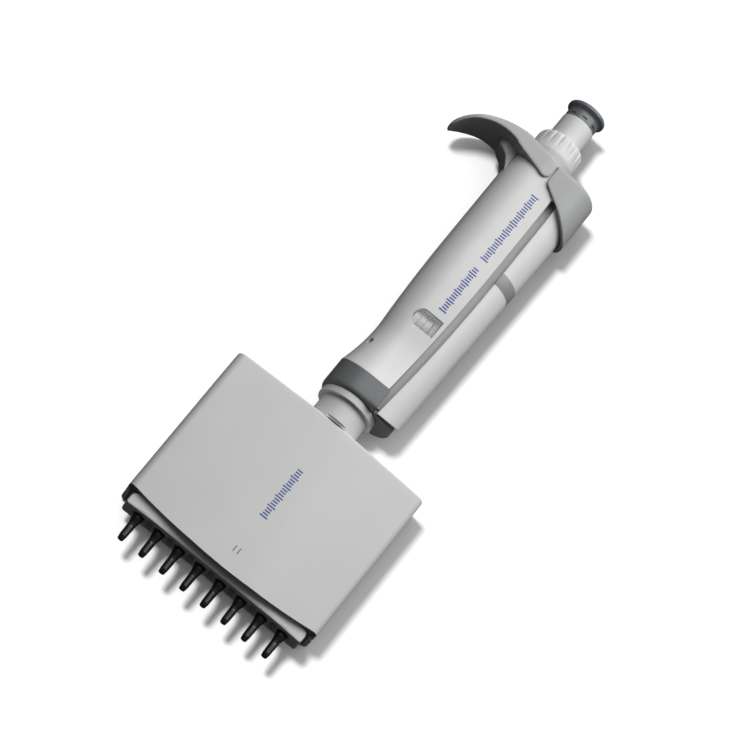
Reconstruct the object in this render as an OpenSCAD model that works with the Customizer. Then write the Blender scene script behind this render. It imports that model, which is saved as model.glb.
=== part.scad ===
// Eight-channel adjustable-volume pipette, lying on its back.
// Each piece is drawn in an upright working frame and laid down by lie_down():
//   x  across the channels, towards the ejector side
//   y  out of the front face
//   z  up the pipette's long axis, from the cone tips at 0 to the push button
// Laid down, the long axis runs along +Y and the front face looks along +Z.

/* [Overall] */
// Length from the cone tips to the top of the push button
overall_length = 238; // [236:0.5:241]
// Height of the long axis above the surface the pipette lies on
axis_height = 12.5; // [12.5:0.1:13.5]

/* [Channels] */
// Number of channels
channels = 8; // [8]
// Distance between neighbouring channels
channel_pitch = 9; // [9]
// Radius of the straight sealing land on a tip cone
cone_land_r = 1.4; // [1.35:0.05:1.45]
// Distance a sprung cone moves up when a tip is pressed on
cone_travel = 1.5; // [1:0.1:1.6]
// Radius of a piston
piston_r = 0.5; // [0.4:0.05:0.5]

/* [Lower housing] */
// Width of the lower housing
housing_width = 82; // [81.6:0.1:83]
// Level of the back cover's lower edge
housing_low = 16; // [16:0.1:16.1]
// Level of the top of the housing
housing_top = 79.5; // [79:0.1:79.6]
// Front of the housing at its middle, from the long axis
housing_front = 9; // [8.8:0.1:9.4]
// Radius of the housing's crowned front
crown_r = 242; // [220:1:300]
// Wall thickness of the covers
wall = 1.6; // [1.4:0.1:1.7]

/* [Handle] */
// Radius of the handle near the top
handle_r_top = 11.25; // [11.2:0.05:11.3]
// Radius of the handle at its waist
handle_r_waist = 9.9; // [9.8:0.05:10.2]
// Radius of the handle at the collar
handle_r_foot = 12.4; // [12.2:0.05:12.4]
// Radius of the band around the top of the handle
band_r = 12.5; // [12.4:0.05:12.5]
// How far the finger hook's outer curve reaches from its centre
hook_r = 29.5; // [28.5:0.1:29.6]

/* [Controls] */
// Travel of the push button, from rest to the end of the blow-out
button_travel = 13.2; // [13:0.1:13.5]
// Travel of the tip ejector
eject_travel = 8; // [6:0.5:8]
// Radius of the volume ring
ring_r = 9.4; // [9.2:0.1:9.6]
// Radius of the button stem
stem_r = 6.5; // [6.3:0.05:6.5]
// Radius of the push button's flange
button_r = 7.65; // [7.4:0.05:7.9]

/* [Hidden] */
$fn = 48;

light_shell = [0.80, 0.80, 0.79];
pale_shell = [0.86, 0.86, 0.86];
mid_grey = [0.60, 0.61, 0.62];
dark_grey = [0.42, 0.44, 0.46];
cap_grey = [0.36, 0.40, 0.44];
near_black = [0.07, 0.08, 0.09];
steel = [0.72, 0.73, 0.75];
clear = [0.85, 0.90, 0.92, 0.4];
gap = 0.2;                       // plain clearance between neighbouring pieces
fit = 0.05;                      // radial clearance of a running fit
far = 300;                       // longer than anything it cuts

half_w = housing_width / 2;
corner_r = 3;
crown_y = housing_front - crown_r;
corner_y = crown_y + sqrt(pow(crown_r - corner_r, 2) - pow(half_w - corner_r, 2));
split_y = -2;                    // parting plane of the two housing covers
apron_drop = 3.4;                // how far the front cover dips at its middle
apron_r = 203;
apron_low = housing_low - apron_drop;

bar_low = 10.6;
bar_high = 15.9;
bar_half_w = 38.2;
bar_half_y = 5.5;
plate_low = 16.2;
plate_high = 18.7;
head_low = 28;
head_high = 35;
seal_low = 33;
seal_high = 34.8;
retainer_high = 36.5;
beam_low = 52;
beam_mid = 55;
head_thick = 1.2;
beam_high = 58;
frame_low = 58.8;
frame_high = 61.8;
yoke_low = frame_high + eject_travel + 1.2;
yoke_high = yoke_low + 4;
eject_rod_x = 37;
eject_rod_r = 1.5;
guide_x = 18;
guide_r = 1.5;
screw_x = 27;
screw_r = 1;
screw_levels = [31.5, 60.3];
post_r = 2.4;
screw_tip_y = 5.5;                // front end of a screw, inside its post
post_end = [5, 6];               // where the back posts meet the head and the frame plate
post_front = 4.8;                // where the front posts meet them
spigot_r = 4.5;
push_r = 2;
push_hole_r = 2.1;
cone_shank_r = 2.1;
cone_flange_r = 3.4;
cone_flange_low = plate_high;
cone_flange_high = 20.5;
cone_top = 30;
cone_bore_r = 0.7;
cone_bore_floor = 3;

neck_r = 9.5;
neck_top = 106;
neck_end_r = 8.2;                // the neck narrows above its bearing
bearing_high = 101;
neck_bore_r = 7;
neck_bore_floor = 96;
leg_inner = 8;
leg_outer = 9.35;
leg_half = 1.5;
ring_low = 88.4;
ring_high = 91.1;
collar_low = 91.2;
collar_left = 103.3;             // collar's upper edge at the left
collar_front = 100.6;            // and at the front
collar_cut = 7.7;                // the collar is open to the right of this
collar_high = 108;               // collar before its upper edge is cut to its slope
clip_low = 101.2;
clip_high = 102.2;
clip_r = 9.9;
disc_low = 112;
disc_high = 114;

handle_low = 100;
handle_high = 206.9;
waist_z = 119.5;
full_z = 165;                    // the handle reaches its full radius here
shell_wall = 1.7;
seam_top_x = 9.6;                // right-hand edge of the shell
seam_bend_z = 160;
seam_pull = 1.0;
seam_pull_over = 38;
rail_half_y = 7.9;
rail_x = 15.5;
rail_low = 92;
rail_high = 198;
panel_r = 10.2;
panel_top_x = 11.1;              // axis of the ejector panel's curve at panel_ref_z
panel_ref_z = 190;
panel_lean = 1.35;
panel_edge = 2.7;                // groove between the shell's edge and the panel
panel_low = 91.4;                // panel's lower edge at the front
panel_side_low = 95.6;           // and at the side
panel_fall = (panel_side_low - panel_low) / panel_r;
panel_high = 196;
panel_wall = 1.6;
lug_x = 11.6;
lug_half_y = 3.5;
lug_low = 176;
lug_high = 179;
ledge_low = 148;
ledge_high = 150;
foot_low = 91.3;
inlay_low = 158;
inlay_high = 163.4;
thumb_x = 3.8;                   // split between the hook band and the thumb piece
thumb_centre_x = 10.8;
thumb_top = 209;
thumb_low_left = 200.4;
thumb_low_right = 189;
thumb_far_x = 22.2;
band_low_left = 206.2;
band_top_left = 212.2;
plate_thick = 2;
boss_r = 10.2;
boss_top = 212.9;
hook_cx = -13;
hook_cz = 182.5;
hook_in_r = 18;
hook_in_cx = -19.5;
hook_in_cz = 189.8;
hook_cut_z = 198.6;
hook_tip_r = 9;
hook_tip_x = -26.9;

window_x0 = -3;
window_x1 = 7.2;
window_z = 130;
window_h = 7;
wheel_r = 3.2;
wheel_y = 5.7;
wheel_w = 2.3;
wheel_gap = 0.2;
wheel_x0 = -2.6;
axle_r = 0.6;
shaft_x = 5.2;
shaft_y = -6.9;
shaft_r = 0.7;
pinion_r = 1.35;
low_gear_r = 1.2;

sleeve_in = 6.6;
sleeve_out = 7.4;
sleeve_low = 136;
sleeve_high = 201;
seat_high = 137.5;
shoulder_low = 165.5;
shoulder_high = 167.5;
shoulder_r = 4.4;
screw_low = 168;
screw_out = 4.6;
screw_in = 2.4;
nut_low = 184;
nut_high = 190;
web_low = 202;
web_high = 204.5;
journal_r = 8.4;
journal_low = 205.8;
skirt_low = 213.1;
dome_low = 219.6;
ring_top = 222;
ring_bore_r = 6.8;
stem_low = 219;
stem_high = 231.4;
stem_neck_r = 5.6;
stem_end = 233.9;
cap_low = 231.5;
cap_solid = 234;
flange_low = ring_top + button_travel + gap;   // the flange stops just above the ring
cap_notches = 8;

function channel_x(i) = (i - (channels - 1) / 2) * channel_pitch;
function lower_flare(z) = pow((waist_z - z) / (waist_z - handle_low), 2);
function upper_swell(z) = 1 - pow((full_z - z) / (full_z - waist_z), 2.2);
function handle_r(z) =
    z < waist_z ? handle_r_waist + (handle_r_foot - handle_r_waist) * lower_flare(z)
    : z < full_z ? handle_r_waist + (handle_r_top - handle_r_waist) * upper_swell(z)
    : handle_r_top;
function seam_x(z) =
    seam_top_x - (z < seam_bend_z ? seam_pull * pow((seam_bend_z - z) / seam_pull_over, 2) : 0);
function panel_x(z) = panel_top_x + (z - panel_ref_z) * tan(panel_lean);
function levels(low, high, step) =
    let (n = ceil((high - low) / step)) [for (i = [0:n]) low + (high - low) * i / n];

module lie_down() {
    translate([0, -overall_length / 2, axis_height]) rotate([-90, 0, 0]) mirror([0, 1, 0]) children();
}

// Cylinder about the z direction between two levels
module rod(r, low, high, x = 0, y = 0) {
    translate([x, y, low]) cylinder(r = r, h = high - low);
}

module tube(outer, inner, low, high) {
    difference() {
        rod(outer, low, high);
        rod(inner, low - 1, high + 1);
    }
}

// Box from its two corners
module block(low, high) {
    translate(low) cube(high - low);
}

// Extrudes a 2D outline drawn in x and z, from y0 to y1
module face_extrude(y0, y1) {
    translate([0, y1, 0]) rotate([90, 0, 0]) linear_extrude(y1 - y0) children();
}

// Points along an arc
function arc(x, y, r, from, to, steps) =
    [for (k = [0:steps]) let (a = from + (to - from) * k / steps) [x + r * cos(a), y + r * sin(a)]];

// Plan outline of the housing, moved in by "inset": crowned front, round corners, flat back
module housing_outline(inset) {
    corner_x = half_w - corner_r;
    back_y = -axis_height + corner_r;
    r = corner_r - inset;
    lean = atan2(corner_y - crown_y, corner_x);
    polygon(concat(
        arc(-corner_x, back_y, r, 180, 270, 6),
        arc(corner_x, back_y, r, 270, 360, 6),
        arc(corner_x, corner_y, r, 0, lean, 6),
        arc(0, crown_y, crown_r - inset, lean, 180 - lean, 24),
        arc(-corner_x, corner_y, r, 180 - lean, 180, 6)));
}

module housing_block(inset, low, high) {
    translate([0, 0, low]) linear_extrude(high - low) housing_outline(inset);
}

// The whole housing shell before it is parted
module housing_shell_solid() {
    difference() {
        housing_block(0, apron_low, housing_top);
        housing_block(wall, apron_low - 1, housing_top - 2);
        rod(spigot_r + gap, housing_top - 5, housing_top + 1);
        for (s = [-1, 1])
            block([s * (leg_inner + leg_outer) / 2 - 0.9, -leg_half - gap, housing_top - 5],
                  [s * (leg_inner + leg_outer) / 2 + 0.9, leg_half + gap, housing_top + 1]);
    }
}

module screw_positions() {
    for (s = [-1, 1], z = screw_levels) translate([s * screw_x, 0, z]) rotate([90, 0, 0]) children();
}

module housing_front_cover() {
    color(light_shell) lie_down() {
        intersection() {
            housing_shell_solid();
            block([-far, split_y, 0], [far, far, far]);
            translate([0, 0, apron_low + apron_r]) rotate([90, 0, 0])
                cylinder(r = apron_r, h = far, center = true, $fn = 360);
        }
        // Screw posts on the inside of the front
        difference() {
            intersection() {
                screw_positions() translate([0, 0, -far / 2]) cylinder(r = post_r, h = far / 2 - post_front);
                housing_block(wall / 2, housing_low, housing_top);
            }
            screw_positions() translate([0, 0, -screw_tip_y - gap]) cylinder(r = screw_r, h = 10);
        }
    }
}

module housing_back_cover() {
    color(light_shell) lie_down() difference() {
        union() {
            intersection() {
                housing_shell_solid();
                block([-far, -far, housing_low], [far, split_y, far]);
            }
            // Posts that stand between the back wall and the two plates inside
            for (s = [-1, 1], k = [0, 1])
                translate([s * screw_x, -post_end[k], screw_levels[k]]) rotate([90, 0, 0])
                    cylinder(r = post_r, h = axis_height - wall / 2 - post_end[k]);
        }
        screw_positions() translate([0, 0, -1]) cylinder(r = screw_r + gap, h = axis_height + 2);
        screw_positions() translate([0, 0, axis_height - 1]) cylinder(r = 2.2 + gap, h = 2);
    }
}

module base_plate() {
    color(dark_grey) lie_down() difference() {
        housing_block(wall + gap, plate_low, plate_high);
        for (i = [0:channels - 1]) rod(cone_shank_r + 0.1, 0, far, channel_x(i));
        for (s = [-1, 1]) rod(eject_rod_r + 0.1, 0, far, s * eject_rod_x);
        // Relief where the front cover dips in front of the plate
        block([-far, housing_front - wall - 1.2, 0], [far, far, far]);
    }
}

module cylinder_head() {
    color(mid_grey) lie_down() difference() {
        block([-34.8, -post_end[0], head_low], [34.8, post_front, head_high]);
        for (i = [0:channels - 1]) {
            rod(cone_shank_r + 0.2, head_low - 1, cone_top + cone_travel + 0.5, channel_x(i));
            rod(cone_bore_r, head_low, far, channel_x(i));
            rod(2.4, seal_low, far, channel_x(i));
        }
        for (s = [-1, 1]) {
            rod(guide_r, seal_low - 2, far, s * guide_x);
            translate([s * screw_x, 0, screw_levels[0]]) rotate([90, 0, 0])
                cylinder(r = screw_r, h = far, center = true);
        }
    }
}

module seal_retainer() {
    color(steel) lie_down() difference() {
        block([-34.8, -4.5, head_high], [34.8, 4.5, retainer_high]);
        for (i = [0:channels - 1]) rod(cone_bore_r, 0, far, channel_x(i));
        for (s = [-1, 1]) rod(guide_r, 0, far, s * guide_x);
    }
}

module piston_seals() {
    color(near_black) lie_down() for (i = [0:channels - 1]) translate([channel_x(i), 0, 0])
        tube(2.35, piston_r + fit, seal_low, seal_high);
}

module guide_rods() {
    color(steel) lie_down() for (s = [-1, 1]) rod(guide_r, seal_low - 2, frame_high, s * guide_x);
}

module frame_plate() {
    color(mid_grey) lie_down() difference() {
        block([-35, -post_end[1], frame_low], [35, post_front, frame_high]);
        rod(push_hole_r, 0, far);
        rod(spigot_r, frame_high - 1, far);
        for (s = [-1, 1]) {
            rod(guide_r, 0, far, s * guide_x);
            translate([s * screw_x, 0, screw_levels[1]]) rotate([90, 0, 0])
                cylinder(r = screw_r, h = far, center = true);
        }
    }
}

// Neck the handle turns on, with grooves for the two legs of the transfer ring
module swivel_neck() {
    color(light_shell) lie_down() difference() {
        union() {
            rod(neck_r, housing_top, bearing_high);
            rod(neck_end_r, bearing_high - 1, neck_top);
            rod(spigot_r, frame_high - 1, housing_top + 1);
        }
        rod(push_hole_r, 0, far);
        rod(neck_bore_r, neck_bore_floor, far);
        for (s = [-1, 1])
            block([s * 9 - 1.15, -leg_half - gap, housing_top - 1],
                  [s * 9 + 1.15, leg_half + gap, ring_high + gap]);
        difference() {
            rod(neck_r, clip_low - 0.1, clip_high + 0.1);
            rod(neck_end_r - 0.35, 0, far);
        }
        // Shallow slot at the foot of the neck
        block([-4, neck_r - 1, housing_top + 0.2], [4, far, housing_top + 1]);
    }
}

module snap_ring() {
    color(steel) lie_down() difference() {
        tube(clip_r, neck_end_r - 0.3, clip_low, clip_high);
        block([-3, -far, 0], [3, 0, far]);
    }
}

module housing_screws() {
    color(steel) lie_down() screw_positions() {
        translate([0, 0, -screw_tip_y]) cylinder(r = screw_r, h = axis_height - 1 + screw_tip_y);
        difference() {
            translate([0, 0, axis_height - 1]) cylinder(r = 2.2, h = 0.9);
            translate([0, 0, axis_height - 0.6]) cylinder(r = 0.8, h = 1, $fn = 6);
        }
    }
}

// A helix of round wire between two levels
module coil(r, wire, low, high, turns, steps = 14, sides = 6) {
    n = turns * steps;
    pitch = (high - low - 2 * wire) / turns;
    function ring_point(i, k) =
        let (a = 360 * i / steps, b = 360 * k / sides)
        [(r + wire * cos(b)) * cos(a), (r + wire * cos(b)) * sin(a),
         low + wire + pitch * i / steps + wire * sin(b)];
    points = [for (i = [0:n], k = [0:sides - 1]) ring_point(i, k)];
    function at(i, k) = i * sides + k % sides;
    sides_faces = [for (i = [0:n - 1], k = [0:sides - 1], half = [0, 1])
        half == 0 ? [at(i, k), at(i + 1, k), at(i + 1, k + 1)]
        : [at(i, k), at(i + 1, k + 1), at(i, k + 1)]];
    start_cap = [for (k = [1:sides - 2]) [0, k, k + 1]];
    end_cap = [for (k = [1:sides - 2]) [at(n, 0), at(n, k + 1), at(n, k)]];
    polyhedron(points, concat(sides_faces, start_cap, end_cap));
}

module cone_springs() {
    color(steel) lie_down() for (i = [0:channels - 1]) translate([channel_x(i), 0, 0])
        coil(2.8, 0.25, cone_flange_high, head_low, 3, 10, 5);
}

// One sprung tip cone: tip, straight sealing land, taper, shank with a flange, upper tube
module tip_cone(i) {
    color(near_black) lie_down() translate([channel_x(i), 0, 0]) difference() {
        rotate_extrude() polygon([
            [0, 0], [0.95, 0], [1.15, 0.25], [cone_land_r - 0.05, 1.9], [cone_land_r, 2.1],
            [cone_land_r, 4.6], [1.5, 5.4], [1.55, 7.2], [cone_shank_r, 9.6],
            [cone_shank_r, cone_flange_low], [cone_flange_r, cone_flange_low],
            [cone_flange_r, cone_flange_high], [cone_shank_r, cone_flange_high],
            [cone_shank_r, cone_top], [0, cone_top]
        ]);
        rod(0.4, -1, cone_top);
        rod(cone_bore_r, cone_bore_floor, far);
    }
}

module piston_beam() {
    color(mid_grey) lie_down() difference() {
        block([-34.6, -4.5, beam_low], [34.6, 4.5, beam_mid]);
        for (i = [0:channels - 1]) rod(piston_r, 0, far, channel_x(i));
        for (s = [-1, 1]) rod(guide_r + fit, 0, far, s * guide_x);
    }
}

module pistons() {
    color(steel) lie_down() for (i = [0:channels - 1]) translate([channel_x(i), 0, 0]) {
        rod(piston_r, 20, beam_mid + head_thick);
        rod(1.5, beam_mid, beam_mid + head_thick);
    }
}

module piston_clamp_plate() {
    color(steel) lie_down() difference() {
        block([-34.6, -4.5, beam_mid], [34.6, 4.5, beam_high]);
        for (i = [0:channels - 1]) rod(1.6, beam_mid - 1, beam_mid + head_thick, channel_x(i));
        rod(push_r, 0, far);
        for (s = [-1, 1]) rod(guide_r + 0.3, 0, far, s * guide_x);
    }
}

module lower_push_rod() {
    color(steel) lie_down() {
        rod(push_r, beam_mid + head_thick, disc_low + 1);
        rod(5.5, disc_low, disc_high);
    }
}

module ejector_bar() {
    top_r = 2.2;
    color(light_shell) lie_down() difference() {
        // The front of the bar follows the inside of the front cover
        intersection() {
            housing_block(wall + gap, bar_low - 1, bar_high + 1);
            face_extrude(-bar_half_y, bar_half_y) {
                translate([-bar_half_w, bar_low]) square([2 * bar_half_w, bar_high - bar_low - top_r]);
                translate([-bar_half_w + top_r, bar_low])
                    square([2 * (bar_half_w - top_r), bar_high - bar_low]);
                for (s = [-1, 1])
                    translate([s * (bar_half_w - top_r), bar_high - top_r]) circle(r = top_r);
            }
        }
        for (i = [0:channels - 1]) rod(cone_shank_r + 0.3, 0, far, channel_x(i));
        // The bar is a channel, open below between the cones
        for (i = [0:channels - 2])
            block([channel_x(i) + 2.9, -bar_half_y + 1.4, 0],
                  [channel_x(i + 1) - 2.9, bar_half_y - 1.4, bar_low + 3.4]);
    }
}

module ejector_rods() {
    color(steel) lie_down() for (s = [-1, 1]) rod(eject_rod_r, bar_high, yoke_high, s * eject_rod_x);
}

module ejector_yoke() {
    color(mid_grey) lie_down() difference() {
        union() {
            block([-39, -3, yoke_low], [39, 3, yoke_high]);
            rod(7, yoke_low, yoke_high);
        }
        rod(spigot_r + 0.3, 0, far);
        for (s = [-1, 1]) rod(eject_rod_r, 0, far, s * eject_rod_x);
    }
}

module transfer_ring() {
    color(pale_shell) lie_down() {
        tube(11.2, neck_r + 0.1, ring_low, ring_high);
        for (s = [-1, 1]) {
            block([s * (leg_inner + leg_outer) / 2 - 0.67, -leg_half, yoke_high],
                  [s * (leg_inner + leg_outer) / 2 + 0.67, leg_half, ring_high]);
            block([s * 9.2 - 0.6, -leg_half, ring_low], [s * 9.2 + 0.6, leg_half, ring_high]);
        }
    }
}

// Handle body: a turned left half, carried straight across to x = reach
module handle_form(inset, low, high, reach) {
    zs = levels(low, high, 4);
    side = [for (z = zs) [handle_r(z) - inset, z]];
    rotate_extrude($fn = 72) polygon(concat([[0, high], [0, low]], side));
    rotate([90, 0, 90]) linear_extrude(reach)
        polygon(concat(side, [for (k = [len(side) - 1:-1:0]) [-side[k][0], side[k][1]]]));
}

// Outline in x and z on one side of the seam at the shell's right-hand edge:
// side -1 is everything to its left and side 1 everything to its right
module beside_seam(side, shift) {
    zs = [for (z = [72:8:224]) z];
    polygon(concat([[side * far, 224], [side * far, 72]], [for (z = zs) [seam_x(z) + shift, z]]));
}

// Everything above a plane that passes the long axis at "level" and falls by "fall" per unit of y
module above_slope(level, fall) {
    translate([0, 0, level]) rotate([-atan(fall), 0, 0])
        translate([-far, -far, 0]) cube([2 * far, 2 * far, far]);
}

module above_collar(lift) {
    above_slope(collar_left + lift, (collar_left - collar_front) / handle_r_foot);
}

module handle_shell() {
    color(light_shell) lie_down() difference() {
        intersection() {
            handle_form(0, handle_low, handle_high, 12);
            face_extrude(-20, 20) beside_seam(-1, 0);
            above_collar(0);
        }
        intersection() {
            handle_form(shell_wall, handle_low, handle_high + 1, 12);
            face_extrude(-20, 20) beside_seam(-1, -shell_wall);
        }
        // Display window
        face_extrude(0, 20) {
            translate([window_x0 + window_h / 2, window_z - window_h / 2])
                square([window_x1 - window_x0 - window_h / 2, window_h]);
            translate([window_x0 + window_h / 2, window_z]) circle(r = window_h / 2);
        }
        // Room for the neck, its clip and the journal of the volume ring
        rod(clip_r + gap, 0, clip_high + 0.4);
        rod(neck_end_r + gap, 0, neck_top + 0.4);
        rod(journal_r + gap, journal_low - gap, far);
        // Pocket for the adjustment plug
        translate([-8.6, 5.6, 113]) rotate([0, 90, 147]) cylinder(r = 1.35, h = 6, center = true);
    }
}

// Collar body: round on the left, carried straight across to the opening on the right
module collar_form() {
    bevel = 0.8;
    side = [[handle_r_foot - bevel, collar_low], [handle_r_foot, collar_low + bevel],
            [handle_r_foot, collar_high]];
    rotate_extrude($fn = 72) polygon(concat([[0, collar_high], [0, collar_low]], side));
    rotate([90, 0, 90]) linear_extrude(collar_cut)
        polygon(concat(side, [for (k = [2:-1:0]) [-side[k][0], side[k][1]]]));
}

module handle_collar() {
    color(dark_grey) lie_down() difference() {
        intersection() {
            collar_form();
            difference() {
                block([-far, -far, 0], [far, far, collar_high]);
                above_collar(-0.05);
            }
        }
        rod(neck_r + fit, 0, far);
        rod(clip_r + gap, bearing_high, far);
        // Opening for the ejector foot on the right-hand side
        block([collar_cut, -far, 0], [far, far, far]);
    }
}

// Channel on the right of the shell that the ejector panel runs on
module ejector_rail() {
    color(mid_grey) lie_down() difference() {
        intersection() {
            block([0, -rail_half_y, rail_low], [rail_x, rail_half_y, rail_high]);
            face_extrude(-20, 20) beside_seam(1, 0.02);
            lean_rod(panel_r - panel_wall - 0.4, rail_low - 1, rail_high + 1);
            above_slope(panel_side_low + 1.5, panel_fall);
        }
        // Room for the neck, its clip and the collar
        rod(clip_r + gap, 0, clip_high + 0.4);
        rod(neck_end_r + gap, 0, neck_top + 0.4);
        difference() {
            block([-far, -far, 0], [collar_cut + 0.1, far, collar_high]);
            above_collar(gap);
        }
        block([11, -4, rail_low - 1], [far, 4, ledge_low]);
        block([11, -4, ledge_high], [far, 4, rail_high + 1]);
    }
}

// Plan outline of band and hook: two circles and the tangents that join them
module finger_hook_outline() {
    lean = asin((band_r - hook_tip_r) / -hook_tip_x);
    circle(r = band_r, $fn = 96);
    translate([hook_tip_x, 0]) circle(r = hook_tip_r);
    polygon([[-band_r * sin(lean), band_r * cos(lean)],
             [hook_tip_x - hook_tip_r * sin(lean), hook_tip_r * cos(lean)],
             [hook_tip_x - hook_tip_r * sin(lean), -hook_tip_r * cos(lean)],
             [-band_r * sin(lean), -band_r * cos(lean)]]);
}

module finger_hook() {
    color(mid_grey) lie_down() difference() {
        union() {
            // Band left of the split, and the hook blade it runs out into
            intersection() {
                linear_extrude(far) finger_hook_outline();
                face_extrude(-20, 20) {
                    polygon([[-band_r, band_top_left], [-band_r, band_low_left],
                             [thumb_x - 0.1, thumb_low_left], [thumb_x - 0.1, thumb_top]]);
                    difference() {
                        translate([hook_cx, hook_cz]) circle(r = hook_r, $fn = 180);
                        translate([hook_in_cx, hook_in_cz]) circle(r = hook_in_r, $fn = 120);
                        translate([-far, 0]) square([2 * far, hook_cut_z]);
                        translate([-8.6, 0]) square([far, far]);
                    }
                }
            }
            block([0, -handle_r_top, handle_high], [seam_top_x - 0.2, handle_r_top, thumb_top]);
            rod(boss_r, handle_high, boss_top);
            // Gusset under the root of the hook
            intersection() {
                face_extrude(-8, 8) difference() {
                    translate([-17, 199.5]) square([6, 9]);
                    translate([-17.2, 201.6]) circle(r = 5.4);
                }
                rod(17, 195, band_top_left);
            }
        }
        handle_form(-0.1, 180, handle_high, 12);
        rod(journal_r + fit, 0, far);
    }
}

module display_lens() {
    lens_gap = 0.1;
    color(clear) lie_down() intersection() {
        difference() {
            handle_form(0.25, 120, 140, 12);
            handle_form(1.15, 119, 141, 13);
        }
        face_extrude(0, 20) {
            translate([window_x0 + window_h / 2, window_z - window_h / 2 + lens_gap])
                square([window_x1 - window_x0 - window_h / 2 - lens_gap, window_h - 2 * lens_gap]);
            translate([window_x0 + window_h / 2, window_z]) circle(r = window_h / 2 - lens_gap);
        }
    }
}

module index_strip() {
    color(mid_grey) lie_down() block([5.3, 7.2, window_z - 4.2], [7, 8.4, window_z + 4.2]);
}

module adjustment_plug() {
    color(mid_grey) lie_down() intersection() {
        translate([-8.6, 5.6, 113]) rotate([0, 90, 147]) cylinder(r = 1.3, h = 6, center = true);
        difference() {
            handle_form(0.5, 108, 118, 1);
            handle_form(shell_wall, 107, 119, 2);
        }
    }
}

module mechanism_sleeve() {
    color(pale_shell) lie_down() {
        tube(sleeve_out, sleeve_in, sleeve_low, sleeve_high);
        difference() {
            handle_form(shell_wall + 0.3, 150, 153, 1);
            rod(sleeve_in, 0, far);
            block([shaft_x - 2, shaft_y - 2, 0], [far, shaft_y + 1.4, far]);
            block([6, -far, 0], [far, far, far]);
        }
    }
}

module spring_seat() {
    color(steel) lie_down() tube(sleeve_in, push_r + 0.2, sleeve_low, seat_high);
}

module counter_frame() {
    cheek = 0.5;
    color(dark_grey) lie_down() for (x = [wheel_x0 - 0.3 - cheek, 4.9 + 0.1])
        difference() {
            block([x, 2.6, window_z - 3], [x + cheek, 7.1, window_z + 6]);
            translate([x - 1, wheel_y, window_z]) rotate([0, 90, 0]) cylinder(r = axle_r, h = 3);
        }
}

module counter_axle() {
    color(steel) lie_down() translate([wheel_x0 - 0.9, wheel_y, window_z]) rotate([0, 90, 0])
        cylinder(r = axle_r, h = 9);
}

module digit_wheel(k) {
    low_x = wheel_x0 + k * (wheel_w + wheel_gap);
    color(pale_shell) lie_down() translate([low_x, wheel_y, window_z]) rotate([0, 90, 0])
        difference() {
            cylinder(r = wheel_r, h = wheel_w);
            translate([0, 0, -1]) cylinder(r = axle_r + fit, h = wheel_w + 2);
        }
}

// Lay shaft that carries the ring's turn down to the counter
module counter_shaft() {
    color(steel) lie_down() {
        rod(shaft_r, 126, web_high, shaft_x, shaft_y);
        rod(low_gear_r, 128, 133, shaft_x, shaft_y);
        rod(pinion_r, web_low, web_high, shaft_x, shaft_y);
    }
}

module main_spring() {
    color(steel) lie_down() coil(3.4, 0.4, seat_high, shoulder_low, 8, 12, 6);
}

module ejector_spring() {
    color(steel) lie_down() translate([13, 0, 0]) coil(1.5, 0.25, ledge_high, lug_low, 9, 10, 5);
}

module volume_ring() {
    color(pale_shell) lie_down() difference() {
        rotate_extrude($fn = 96) polygon(concat(
            [[0, web_low], [journal_r - 1.2, web_low], [journal_r - 1.2, journal_low],
             [journal_r, journal_low],
             [journal_r, skirt_low], [ring_r, skirt_low]],
            [for (a = [0:15:75]) [stem_r + 0.5 + (ring_r - stem_r - 0.5) * cos(a),
                                 dome_low + (ring_top - dome_low) * sin(a)]],
            [[stem_r + 0.5, ring_top], [0, ring_top]]));
        rod(ring_bore_r, web_high, far);
        rod(screw_in, 0, far);
        rod(screw_out, web_low - 1, web_low + 1.2);
    }
}

module lead_screw() {
    thread_pitch = 1.273;
    thread_depth = 0.3;
    turns = floor((web_low - screw_low - 3) / thread_pitch);
    color(steel) lie_down() difference() {
        tube(screw_out, screw_in, screw_low, web_low + 1.2);
        for (k = [1:2:turns]) translate([0, 0, screw_low + 1 + k * thread_pitch])
            rotate_extrude() polygon([[screw_out - thread_depth, 0], [screw_out + 1, -0.4],
                                      [screw_out + 1, 0.4]]);
    }
}

module volume_nut() {
    color(steel) lie_down() difference() {
        rod(sleeve_in - 0.1, nut_low, nut_high);
        rod(screw_out + fit, 0, far);
    }
}

module button_cap() {
    color(cap_grey) lie_down() difference() {
        rotate_extrude($fn = 96) polygon([
            [0, cap_low], [stem_r - 0.15, cap_low], [stem_r - 0.25, cap_solid],
            [stem_r - 0.1, flange_low], [button_r - 0.25, flange_low + 0.7],
            [button_r, flange_low + 1], [button_r, overall_length - 0.5],
            [button_r - 0.4, overall_length - 0.1], [button_r - 0.9, overall_length],
            [5, overall_length - 0.4], [0, overall_length - 0.6]
        ]);
        rod(stem_neck_r + 0.02, 0, stem_end);
        for (k = [0:cap_notches - 1]) rotate([0, 0, 360 * k / cap_notches])
            block([0, -1.15, cap_low - 1], [far, 1.15, cap_solid - 0.6]);
    }
}

module button_stem() {
    color(pale_shell) lie_down() difference() {
        union() {
            rod(stem_r, stem_low, stem_high);
            rod(stem_neck_r, stem_high - 1, stem_end);
        }
        rod(5, stem_low - 1, stem_high - 2);
        rod(push_r, 0, stem_end - 1);
    }
}

module upper_push_rod() {
    color(steel) lie_down() {
        rod(push_r, disc_high + 0.1, stem_end - 1);
        rod(4, disc_high + 0.1, disc_high + 1.9);
        rod(shoulder_r, shoulder_low, shoulder_high);
    }
}

// Cylinder that follows the ejector panel's leaning axis
module lean_rod(r, low, high) {
    intersection() {
        translate([panel_top_x, 0, panel_ref_z]) rotate([0, panel_lean, 0])
            cylinder(r = r, h = 240, center = true, $fn = 72);
        block([-far, -far, low], [far, far, high]);
    }
}

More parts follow.
